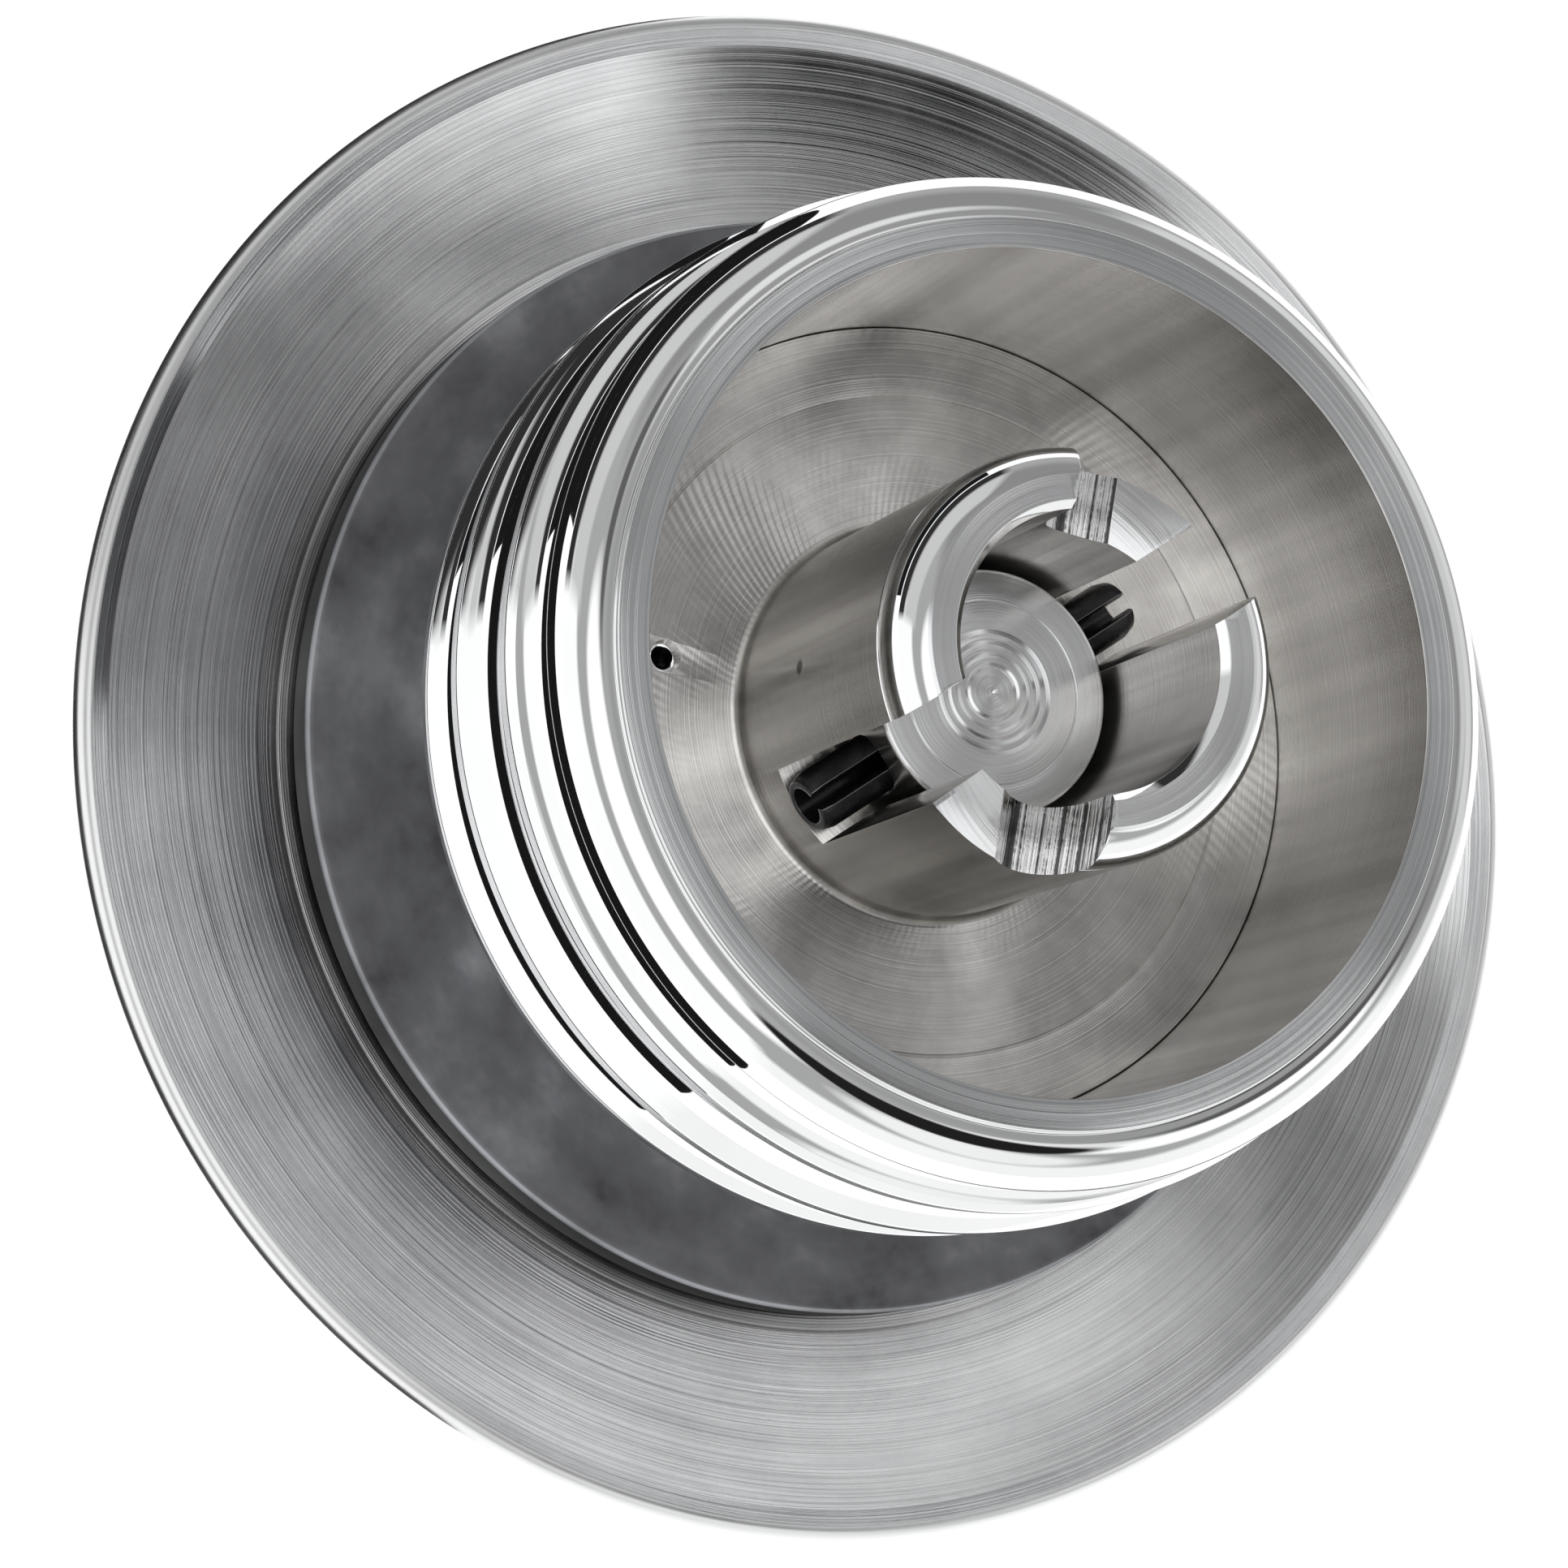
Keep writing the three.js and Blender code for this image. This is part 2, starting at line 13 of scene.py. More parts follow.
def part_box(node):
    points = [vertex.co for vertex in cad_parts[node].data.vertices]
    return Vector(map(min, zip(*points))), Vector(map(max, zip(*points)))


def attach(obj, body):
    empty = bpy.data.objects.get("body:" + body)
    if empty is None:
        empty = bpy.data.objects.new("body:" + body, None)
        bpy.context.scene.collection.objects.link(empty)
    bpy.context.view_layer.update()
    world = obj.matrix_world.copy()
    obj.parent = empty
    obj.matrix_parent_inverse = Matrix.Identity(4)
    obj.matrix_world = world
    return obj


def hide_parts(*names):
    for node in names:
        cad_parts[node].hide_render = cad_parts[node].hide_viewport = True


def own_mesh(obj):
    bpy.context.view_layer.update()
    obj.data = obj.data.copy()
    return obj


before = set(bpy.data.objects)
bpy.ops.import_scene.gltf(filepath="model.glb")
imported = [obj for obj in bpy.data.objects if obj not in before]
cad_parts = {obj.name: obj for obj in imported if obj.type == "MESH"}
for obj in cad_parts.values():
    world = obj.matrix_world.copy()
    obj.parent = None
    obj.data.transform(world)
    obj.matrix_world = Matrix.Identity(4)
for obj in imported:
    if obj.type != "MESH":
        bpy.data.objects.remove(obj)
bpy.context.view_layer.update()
scene = bpy.context.scene
scene.view_settings.view_transform = "Standard"
MM = 0.001


# ---- places, taken from the frame ------------------------------------------------------------
def low(node, axis=2):
    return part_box(node)[0][axis] / MM


def high(node, axis=2):
    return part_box(node)[1][axis] / MM


FLANGE_R = high("flange_dish", 0)
LIP_R = 1.0
LIP_Z = high("flange_dish") - LIP_R
PLATE_BACK = low("flange_dish")
SEAT_Z = LIP_Z - 2.6
WASHER_R = high("seat_washer", 0)
WASHER_TOP = high("seat_washer")
WASHER_LOW = low("seat_washer")
RIM_Z = high("ribbed_collar")
SPIGOT_END = low("ribbed_collar")
FLOOR_Z = LIP_Z + 14.6
FLOOR_THICKNESS = 3
BOSS_TOP = high("bayonet_boss")
TAIL_END = low("bayonet_boss")
POST_FACE = high("plunger")
STEM_END = low("plunger")
PIN_HALF = high("cross_pin", 1)
PIN_R = high("cross_pin", 0)
PIN_Z = low("cross_pin") + PIN_R
BUTTON_FACE = low("push_button")
BUTTON_R = high("push_button", 0)
NUT_R = high("rear_ring_nut", 0)
NUT_TOP = high("rear_ring_nut")

# Sizes inside the object, in millimetres and degrees, as in the CAD. FIT is the play of a bore.
FIT = 0.1
SPIGOT_R = 24.0
NECK_R = 27.0
WELL_R = 20.6
CUP_R = 26.4
RIM_R = 28.4
DISH_FOOT_R = 38.4

# Each rib's radius, and the height of its lower edge.
RIBS = [(33.2, LIP_Z + 11.7), (33.45, LIP_Z + 18.1), (32.7, LIP_Z + 24.9), (31.75, LIP_Z + 30.5)]
BOSS_R = 12.9
BOSS_FILLET = 0.7
BORE_R = 8.7
BOSS_FACE_R = 10.8
BOSS_ROUND_Z = LIP_Z + 36.1
SLOT_WIDTH = 5.5
SLOT_FLOOR = LIP_Z + 18.9
NOTCH_ANGLE = 46
NOTCH_FLOOR = LIP_Z + 33.1
RAMP_Z = LIP_Z + 33.6
RAMP_SLOPE = 13
VENT = {"r": 0.65, "sink": 1.05, "place": 18.2, "angle": -133}
POST_R = 7.95
STEM_R = 5.0
PIN_WALL = 0.75
PIN_SLIT = 1.1
PIN_LEAD = 0.9


# ---- camera ----------------------------------------------------------------------------------
VIEW_ANGLE = 20.4376
VIEW_PLACE = (-20.128, -127.083, 280.270)
VIEW_AIM = (0.06718, 0.41850, -0.90573)
VIEW_ROLL = 67.368


def add_camera():
    """The photograph's view: 65 degrees up and rolled, so the axis leans to the right."""
    data = bpy.data.cameras.new("camera")
    data.angle = math.radians(VIEW_ANGLE)
    data.clip_start = 0.01
    data.clip_end = 20
    camera = bpy.data.objects.new("camera", data)
    scene.collection.objects.link(camera)
    camera.location = Vector(VIEW_PLACE) * MM
    aim = Vector(VIEW_AIM)
    level = aim.to_track_quat("-Z", "Y").to_matrix().to_4x4()
    upright = Vector((0, 0, 1)) - aim * aim.z
    up_now = level.to_3x3() @ Vector((0, 1, 0))
    right_now = level.to_3x3() @ Vector((1, 0, 0))
    settle = math.atan2(upright.dot(right_now), upright.dot(up_now))
    roll = Matrix.Rotation(math.radians(VIEW_ROLL) - settle, 4, "Z")
    camera.matrix_world = Matrix.Translation(camera.location) @ level @ roll
    scene.camera = camera


add_camera()


# ---- meshes ----------------------------------------------------------------------------------
def arc(start, end, sagitta, steps):
    """Points between two outline points, on an arc that bulges to the left by its sagitta."""
    dr, dz = end[0] - start[0], end[1] - start[1]
    chord = math.hypot(dr, dz)
    radius = (chord * chord / 4 + sagitta * sagitta) / (2 * abs(sagitta))
    side = math.copysign(1, sagitta)
    back = radius - abs(sagitta)
    left = (-dz / chord * side, dr / chord * side)
    centre = (start[0] + dr / 2 - left[0] * back, start[1] + dz / 2 - left[1] * back)
    first = math.atan2(start[1] - centre[1], start[0] - centre[0])
    sweep = -2 * side * math.asin(min(1, chord / (2 * radius)))
    turns = [first + sweep * i / steps for i in range(1, steps)]
    return [(centre[0] + radius * math.cos(t), centre[1] + radius * math.sin(t), 0) for t in turns]


def rounded(outline, steps=6):
    """Replaces each corner that has a radius by an arc tangent to its two sides."""
    points = []
    count = len(outline)
    for i, (r, z, radius) in enumerate(outline):
        here = Vector((r, z))
        before = Vector(outline[i - 1][:2]) - here
        after = Vector(outline[(i + 1) % count][:2]) - here
        if radius <= 0 or before.length < 1e-6 or after.length < 1e-6:
            points.append((r, z))
            continue
        half = before.angle(after) / 2
        reach = min(radius / math.tan(half), before.length * 0.49, after.length * 0.49)
        radius = reach * math.tan(half)
        start = here + before.normalized() * reach
        end = here + after.normalized() * reach
        turn = math.pi - 2 * half
        bisector = (before.normalized() + after.normalized()).normalized()
        centre = here + bisector * (radius / math.sin(half))
        a = start - centre
        sign = math.copysign(1, a.x * (end - centre).y - a.y * (end - centre).x)
        for k in range(steps + 1):
            t = sign * turn * k / steps
            points.append((centre.x + a.x * math.cos(t) - a.y * math.sin(t),
                           centre.y + a.x * math.sin(t) + a.y * math.cos(t)))
    return points


def add_object(name, bm, smooth_angle=32):
    bmesh.ops.recalc_face_normals(bm, faces=bm.faces)
    mesh = bpy.data.meshes.new(name)
    bm.to_mesh(mesh)
    bm.free()
    for polygon in mesh.polygons:
        polygon.use_smooth = True
    mesh.set_sharp_from_angle(angle=math.radians(smooth_angle))
    piece = bpy.data.objects.new(name, mesh)
    scene.collection.objects.link(piece)
    return piece


def turned(name, outline, segments=256, steps=6):
    """Turns a closed outline about Z. Points on the axis become one vertex each."""
    bm = bmesh.new()
    rings = []
    for r, z in rounded(outline, steps):
        if r < 1e-6:
            rings.append([bm.verts.new((0, 0, z * MM))])
            continue
        turns = [2 * math.pi * k / segments for k in range(segments)]
        rings.append([bm.verts.new((r * math.cos(t) * MM, r * math.sin(t) * MM, z * MM))
                      for t in turns])
    for this, following in zip(rings, rings[1:] + rings[:1]):
        for k in range(segments):
            n = (k + 1) % segments
            corners = [this[k % len(this)], this[n % len(this)],
                       following[n % len(following)], following[k % len(following)]]
            unique = list(dict.fromkeys(corners))
            if len(unique) > 2:
                bm.faces.new(unique)
    return add_object(name, bm)


def join_hoops(bm, this, following):
    """A band of faces between two closed loops of vertices."""
    for k in range(len(this)):
        n = (k + 1) % len(this)
        bm.faces.new((this[k], this[n], following[n], following[k]))


def box_piece(name, size, centre):
    bm = bmesh.new()
    bmesh.ops.create_cube(bm, size=1)
    bmesh.ops.scale(bm, vec=Vector(size) * MM, verts=bm.verts)
    bmesh.ops.translate(bm, vec=Vector(centre) * MM, verts=bm.verts)
    return add_object(name, bm)


def cylinder_piece(name, radius, low_z, high_z, segments=48, top_radius=None):
    bm = bmesh.new()
    top = radius if top_radius is None else top_radius
    bmesh.ops.create_cone(bm, cap_ends=True, segments=segments, radius1=radius * MM,
                          radius2=top * MM, depth=(high_z - low_z) * MM)
    bmesh.ops.translate(bm, vec=(0, 0, (low_z + high_z) / 2 * MM), verts=bm.verts)
    return add_object(name, bm)


def place(piece, matrix):
    piece.data.transform(matrix)
    return piece


LYING = Matrix.Rotation(math.radians(90), 4, "Y")


def about_z(degrees):
    return Matrix.Rotation(math.radians(degrees), 4, "Z")


def shift(x, y, z):
    return Matrix.Translation(Vector((x, y, z)) * MM)


def use_modifiers(piece):
    """Applies every modifier of a piece to its mesh."""
    depsgraph = bpy.context.evaluated_depsgraph_get()
    made = bpy.data.meshes.new_from_object(piece.evaluated_get(depsgraph))
    piece.modifiers.clear()
    old = piece.data
    piece.data = made
    bpy.data.meshes.remove(old)


def cut(piece, cutters):
    """Cuts the cutters out of a piece. The cut faces keep the cutter's material."""
    for cutter in cutters:
        boolean = piece.modifiers.new("cut", "BOOLEAN")
        boolean.operation = "DIFFERENCE"
        boolean.solver = "EXACT"
        boolean.material_mode = "TRANSFER"
        boolean.object = cutter
        use_modifiers(piece)
        bpy.data.objects.remove(cutter)


def soften_edges(piece, width=0.12, segments=2, angle=35, material=-1):
    """A small bevel along the sharp edges, which catches the light as a real edge does."""
    bevel = piece.modifiers.new("edges", "BEVEL")
    bevel.width = width * MM
    bevel.segments = segments
    bevel.limit_method = "ANGLE"
    bevel.angle_limit = math.radians(angle)
    bevel.material = material
    use_modifiers(piece)
    piece.data.set_sharp_from_angle(angle=math.radians(angle + 5))


# ---- materials -------------------------------------------------------------------------------
STAIN_COLOUR = (0.06, 0.05, 0.045, 1)


class Nodes:
    """Short calls for building the node tree of a material or a world."""

    def __init__(self, owner):
        owner.use_nodes = True
        self.owner = owner
        self.tree = owner.node_tree
        self.shader = self.tree.nodes.get("Principled BSDF")

    def add(self, kind, **values):
        node = self.tree.nodes.new(kind)
        for key, value in values.items():
            setattr(node, key, value)
        return node

    def link(self, source, target):
        self.tree.links.new(source, target)

    def math(self, operation, a, b=None, c=None):
        node = self.add("ShaderNodeMath", operation=operation)
        for socket, value in zip(node.inputs, (a, b, c)):
            if value is None:
                continue
            if isinstance(value, (int, float)):
                socket.default_value = value
            else:
                self.link(value, socket)
        return node.outputs[0]

    def noise(self, scale, detail=2.0, roughness=0.5, dimensions="3D", w=None, vector=None):
        node = self.add("ShaderNodeTexNoise", noise_dimensions=dimensions)
        node.inputs["Scale"].default_value = scale
        node.inputs["Detail"].default_value = detail
        node.inputs["Roughness"].default_value = roughness
        if w is not None:
            self.link(w, node.inputs["W"])
        if vector is not None:
            self.link(vector, node.inputs["Vector"])
        return node.outputs[0]

    def polar_noise(self, x, y, radius):
        """Slow noise round the axis, drawn out along the radius."""
        place_now = self.add("ShaderNodeCombineXYZ")
        for target, side in zip(place_now.inputs, (x, y)):
            self.link(self.math("DIVIDE", side, radius), target)
        self.link(self.math("MULTIPLY", radius, 0.05), place_now.inputs[2])
        return self.noise(3.2, 4.0, 0.62, vector=place_now.outputs[0])

    def spread(self, value, from_low, from_high, to_low, to_high):
        node = self.add("ShaderNodeMapRange")
        self.link(value, node.inputs["Value"])
        for key, number in zip(("From Min", "From Max", "To Min", "To Max"),
                               (from_low, from_high, to_low, to_high)):
            node.inputs[key].default_value = number
        return node.outputs[0]

    def ramp(self, value, stops):
        node = self.add("ShaderNodeValToRGB")
        elements = node.color_ramp.elements
        for element, (place_at, colour) in zip(elements, stops[:2]):
            element.position = place_at
            element.color = (*colour, 1)
        for place_at, colour in stops[2:]:
            elements.new(place_at).color = (*colour, 1)
        self.link(value, node.inputs[0])
        return node.outputs[0]

    def position(self):
        """The point's place in millimetres: x, y, z, and its distance from the axis."""
        coordinates = self.add("ShaderNodeTexCoord").outputs["Object"]
        split = self.add("ShaderNodeSeparateXYZ")
        self.link(coordinates, split.inputs[0])
        x, y, z = (self.math("MULTIPLY", split.outputs[k], 1000.0) for k in range(3))
        across = self.math("ADD", self.math("MULTIPLY", x, x), self.math("MULTIPLY", y, y))
        return coordinates, x, y, z, self.math("SQRT", across)

    def stained(self, tone, place_mm, radius_mm=0.55):
        """The tone with one small dark stain, fading out from 0.6 of its radius."""
        away = self.add("ShaderNodeVectorMath", operation="DISTANCE")
        self.link(self.add("ShaderNodeTexCoord").outputs["Object"], away.inputs[0])
        away.inputs[1].default_value = Vector(place_mm) * MM
        mix = self.add("ShaderNodeMix", data_type="RGBA")
        inside = self.spread(away.outputs["Value"], radius_mm * MM, 0.6 * radius_mm * MM, 0, 0.8)
        self.link(inside, mix.inputs["Factor"])
        self.link(tone, mix.inputs["A"])
        mix.inputs["B"].default_value = STAIN_COLOUR
        return mix.outputs["Result"]

    def bump(self, height, depth_mm):
        node = self.add("ShaderNodeBump")
        node.inputs["Strength"].default_value = 1.0
        node.inputs["Distance"].default_value = depth_mm * MM
        self.link(height, node.inputs["Height"])
        return node.outputs[0]

    def lathe_grain(self, anisotropy):
        """Blurs reflections across the tool rings, as turning does, and hardly along them."""
        node = self.add("ShaderNodeTangent", direction_type="RADIAL", axis="Z")
        self.link(node.outputs[0], self.shader.inputs["Tangent"])
        self.shader.inputs["Anisotropic"].default_value = anisotropy
        self.shader.inputs["Anisotropic Rotation"].default_value = 0.25


def turned_metal(name, light, dark, roughness, ring_pitch, ring_depth, anisotropy=0.0,
                 smudge=0.04, chatter=0.0, lines=0.06, painted_reflection=0.0, mark=None):
    """Turned metal: tool rings of random depth round the axis, smudges and slow colour change.

    ring_pitch and ring_depth are in millimetres. lines says how much of the tone follows the
    rings, and the weight after it how much painted reflection goes into the tone: slow patches
    round the axis, drawn out along the radius. chatter is the strength of a fine ripple round the
    axis. A mark is a small dark stain, given by its place in millimetres.
    """
    n = Nodes(bpy.data.materials.new(name))
    coordinates, x, y, z, radius = n.position()
    way = n.math("ADD", radius, n.math("MULTIPLY", z, 1.37))
    rings = n.noise(1.0 / ring_pitch, 3.0, 0.65, "1D", w=way)
    broad = n.noise(0.35 / ring_pitch, 1.0, 0.5, "1D", w=way)
    cloud = n.noise(55.0, 4.0, 0.6, vector=coordinates)
    height = n.math("ADD", rings, n.math("MULTIPLY", broad, 0.6))
    if chatter:
        angle = n.math("ARCTAN2", y, x)
        phase = n.math("ADD", n.math("MULTIPLY", angle, 190.0), n.math("MULTIPLY", way, 4.1))
        wave = n.math("SINE", phase)
        patch = n.spread(cloud, 0.42, 0.62, 0.0, chatter)
        height = n.math("ADD", height, n.math("MULTIPLY", wave, patch))
    n.link(n.bump(height, ring_depth), n.shader.inputs["Normal"])
    blend = n.math("ADD", n.math("MULTIPLY", cloud, 1 - lines - painted_reflection),
                   n.math("MULTIPLY", rings, lines))
    # Painted reflection: slow patches round the axis, drawn out along the radius, go into the
    # tone.
    if painted_reflection:
        blend = n.math("ADD", blend, n.math("MULTIPLY", n.polar_noise(x, y, radius), painted_reflection))
    tone = n.ramp(blend, [(0.35, dark), (0.65, light)])
    if mark:
        tone = n.stained(tone, mark)
    n.link(tone, n.shader.inputs["Base Color"])
    rough = n.math("ADD", n.spread(cloud, 0.35, 0.7, roughness - smudge, roughness + smudge),
                   n.spread(rings, 0.3, 0.7, -smudge / 2, smudge / 2))
    n.link(rough, n.shader.inputs["Roughness"])
    n.shader.inputs["Metallic"].default_value = 1.0
    if anisotropy:
        n.lathe_grain(anisotropy)
    return n.owner


def dull_metal(name):
    """The seat washer: dark, matt and stained, with painted shade on its side wall and a painted
    highlight, patchy with the stains, along the outer edge of its top face.
    """
    n = Nodes(bpy.data.materials.new(name))
    coordinates, x, y, z, radius = n.position()
    stain = n.noise(70.0, 5.0, 0.62, vector=coordinates)
    fine = n.noise(900.0, 3.0, 0.6, vector=coordinates)
    rings = n.noise(4.0, 2.0, 0.6, "1D", w=radius)
    patch = n.polar_noise(x, y, radius)
    tone = n.math("ADD", n.math("MULTIPLY", stain, 0.6), n.math("MULTIPLY", patch, 0.4))
    colour = n.ramp(tone, [(0.36, (0.06, 0.06, 0.064)), (0.44, (0.15, 0.151, 0.16)),
                           (0.54, (0.22, 0.223, 0.235)), (0.64, (0.36, 0.364, 0.38))])
    # Painted shade: the side wall, from half a millimetre below the top face down, is coloured
    # near black.
    side = n.spread(z, WASHER_TOP - 0.5, WASHER_TOP - 0.25, 1.0, 0.0)
    dark = n.add("ShaderNodeMix", data_type="RGBA")
    n.link(side, dark.inputs["Factor"])
    n.link(colour, dark.inputs["A"])
    dark.inputs["B"].default_value = (0.03, 0.03, 0.032, 1)
    # Painted highlight: a paler ring along the outer edge of the top face, patchy with the stains.
    edge = n.spread(radius, WASHER_R - 0.3, WASHER_R - 0.2, 0.0, 1.0)
    edge_highlight = n.math("MULTIPLY", n.math("MULTIPLY", edge, n.math("SUBTRACT", 1.0, side)),
                  n.spread(stain, 0.35, 0.6, 0.4, 1.0))
    mix = n.add("ShaderNodeMix", data_type="RGBA")
    n.link(edge_highlight, mix.inputs["Factor"])
    n.link(dark.outputs["Result"], mix.inputs["A"])
    mix.inputs["B"].default_value = (0.5, 0.51, 0.54, 1)
    n.link(mix.outputs["Result"], n.shader.inputs["Base Color"])
    n.link(n.spread(stain, 0.3, 0.7, 0.62, 0.42), n.shader.inputs["Roughness"])
    height = n.math("ADD", n.math("MULTIPLY", rings, 0.3), n.math("MULTIPLY", fine, 0.5))
    n.link(n.bump(height, 0.012), n.shader.inputs["Normal"])
    n.shader.inputs["Metallic"].default_value = 0.85
    return n.owner


def milled_metal(name):
    """Bright walls cut by an end mill: facets along the cutter's path, a painted reflection that
    swings the tone from near black to bright with the facets, and torn specks.
    """
    n = Nodes(bpy.data.materials.new(name))
    coordinates, x, y, z, _ = n.position()
    way = math.radians(NOTCH_ANGLE)
    across = n.math("ADD", n.math("MULTIPLY", x, math.cos(way)),
                    n.math("MULTIPLY", y, math.sin(way)))
    path = n.math("ADD", across, n.math("MULTIPLY", z, 0.8))
    facets = n.noise(1.5, 2.0, 0.65, "1D", w=path)
    fine = n.noise(7.0, 2.0, 0.6, "1D", w=path)
    specks = n.noise(2100.0, 2.0, 0.75, vector=coordinates)
    height = n.math("ADD", facets, n.math("MULTIPLY", fine, 0.16))
    height = n.math("ADD", height, n.math("MULTIPLY", specks, 0.03))
    n.link(n.bump(height, 0.5), n.shader.inputs["Normal"])
    # Painted reflection: the base colour follows the facets from near black to bright; the specks
    # add grain.
    tone = n.math("ADD", n.math("MULTIPLY", facets, 0.8), n.math("MULTIPLY", specks, 0.2))
    n.link(n.ramp(tone, [(0.43, (0.10, 0.10, 0.10)), (0.50, (0.93, 0.93, 0.93))]),
           n.shader.inputs["Base Color"])
    n.link(n.spread(fine, 0.3, 0.7, 0.04, 0.14), n.shader.inputs["Roughness"])
    n.shader.inputs["Metallic"].default_value = 1.0
    return n.owner


def plain_material(name, light, dark, roughness, metallic, grain=600.0, depth=0.01):
    """Rubber, fibre, black oxide or bearing metal: a fine grain and slow change of tone."""
    n = Nodes(bpy.data.materials.new(name))
    coordinates = n.add("ShaderNodeTexCoord").outputs["Object"]
    cloud = n.noise(120.0, 4.0, 0.6, vector=coordinates)
    fine = n.noise(grain, 3.0, 0.6, vector=coordinates)
    n.link(n.ramp(cloud, [(0.3, dark), (0.7, light)]), n.shader.inputs["Base Color"])
    rough = n.spread(fine, 0.3, 0.7, roughness - 0.06, roughness + 0.06)
    n.link(rough, n.shader.inputs["Roughness"])
    n.link(n.bump(fine, depth), n.shader.inputs["Normal"])
    n.shader.inputs["Metallic"].default_value = metallic
    return n.owner


CHROME = turned_metal("bright_chrome", (0.93, 0.935, 0.94), (0.88, 0.885, 0.89), 0.035, 0.5,
                      0.0004, smudge=0.012)
LIP = turned_metal("rolled_lip", (0.93, 0.935, 0.94), (0.84, 0.845, 0.85), 0.30, 0.4, 0.004)
# DISH, NICKEL and SATIN have painted reflection patches in their tone.
DISH = turned_metal("turned_chrome", (0.95, 0.955, 0.96), (0.58, 0.585, 0.595), 0.14, 0.27,
                    0.018, anisotropy=0.9, lines=0.35, painted_reflection=0.4)
NICKEL = turned_metal("satin_nickel", (0.97, 0.955, 0.935), (0.56, 0.545, 0.53), 0.20, 0.14,
                      0.012, anisotropy=0.97, chatter=0.3, lines=0.25, painted_reflection=0.55)
FACE = turned_metal("turned_face", (0.92, 0.925, 0.93), (0.80, 0.805, 0.82), 0.19, 0.3, 0.014,
                    anisotropy=0.9, smudge=0.03, lines=0.3)
RIM = turned_metal("rim_face", (0.95, 0.96, 0.97), (0.55, 0.56, 0.57), 0.17, 0.25, 0.03,
                   anisotropy=0.9, smudge=0.03, lines=0.7)
SATIN = turned_metal("satin_side", (0.96, 0.945, 0.92), (0.42, 0.41, 0.395), 0.22, 0.2, 0.008,
                     anisotropy=0.92, smudge=0.05, lines=0.2, painted_reflection=0.6,
                     mark=(-7.76, -10.30, 38.33))
MILLED = milled_metal("milled_walls")
DULL = dull_metal("dull_metal")
STEEL = plain_material("plain_steel", (0.62, 0.62, 0.63), (0.48, 0.48, 0.49), 0.3, 1.0)
# The pin's edge colour: paler metal on the bevels, both worn oxide and a painted highlight along
# the edges.
WORN_AND_HIGHLIT = plain_material("worn_and_highlit_edge", (0.34, 0.34, 0.35), (0.10, 0.10, 0.105), 0.25, 1.0)
BLACK = plain_material("black_oxide", (0.050, 0.050, 0.052), (0.016, 0.016, 0.018), 0.26, 0.6)
BRONZE = plain_material("bearing_bronze", (0.66, 0.44, 0.22), (0.50, 0.32, 0.15), 0.38, 1.0)
RUBBER = plain_material("moulded_rubber", (0.03, 0.03, 0.03), (0.012, 0.012, 0.012), 0.75, 0.0)
FIBRE = plain_material("fibre_sheet", (0.34, 0.18, 0.12), (0.22, 0.11, 0.08), 0.9, 0.0)


def paint(piece, *materials):
    piece.data.materials.clear()
    for material in materials:
        piece.data.materials.append(material)
    return piece


def paint_where(piece, index, test):
    """Gives a material to the faces that pass a test of radius, height (mm) and normal."""
    for polygon in piece.data.polygons:
        centre = polygon.center / MM
        if test(math.hypot(centre.x, centre.y), centre.z, polygon.normal):
            polygon.material_index = index


def finish_piece(piece, body, slot, *nodes):
    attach(piece, body)
    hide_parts(*nodes)


# ---- flange and seat -------------------------------------------------------------------------
BELL_FOOT_R = 32
BELL_SAGITTA = -1.0
LIP_SAGITTA = -0.29
DISH_SAGITTA = 0.3


def build_flange():
    dish_rim = (FLANGE_R - 2.2, LIP_Z + 0.2)
    dish_foot = (DISH_FOOT_R, SEAT_Z)
    bell_rim = (FLANGE_R - 2.4, LIP_Z - 1.6)
    bell_foot = (BELL_FOOT_R, PLATE_BACK)
    lip_low = (FLANGE_R - LIP_R, LIP_Z - LIP_R)
    lip_edge = (FLANGE_R, LIP_Z)
    lip_top = (FLANGE_R - LIP_R, LIP_Z + LIP_R)
    outline = [
        (SPIGOT_R + FIT, PLATE_BACK, 0.2),
        (*bell_foot, 0),
        *arc(bell_foot, bell_rim, BELL_SAGITTA, 20),
        (*bell_rim, 0.5),
        (*lip_low, 0.3),
        *arc(lip_low, lip_edge, LIP_SAGITTA, 8),
        (*lip_edge, 0),
        *arc(lip_edge, lip_top, LIP_SAGITTA, 8),
        (*lip_top, 0.3),
        (*dish_rim, 0.5),
        *arc(dish_rim, dish_foot, DISH_SAGITTA, 24),
        (*dish_foot, 0.3),
        (SPIGOT_R + FIT, SEAT_Z, 0.1),
    ]
    flange = paint(turned("flange", outline, 360), DISH, LIP)
    paint_where(flange, 1, lambda r, z, n: r > FLANGE_R - 1.6)
    finish_piece(flange, "hub", "turned_chrome", "flange_dish")


def build_seat_washer():
    outline = [
        (SPIGOT_R + FIT, WASHER_LOW, 0.1),
        (WASHER_R, WASHER_LOW, 0.25),
        (WASHER_R, WASHER_TOP, 0.5),
        (SPIGOT_R + FIT, WASHER_TOP, 0.1),
    ]
    washer = paint(turned("seat_ring", outline, 256, 10), DULL)
    finish_piece(washer, "hub", "dull_metal", "seat_washer")


# ---- ribbed collar ---------------------------------------------------------------------------
RIB_LAND = 1.0
RIB_BEVEL = 0.5
SCALLOP_DEPTH = 1.2
NECK_COVE = 3.4
BEAD_SAGITTA = -0.82
RIM_STEP = 0.55
RIM_STEP_WIDTH = 0.3


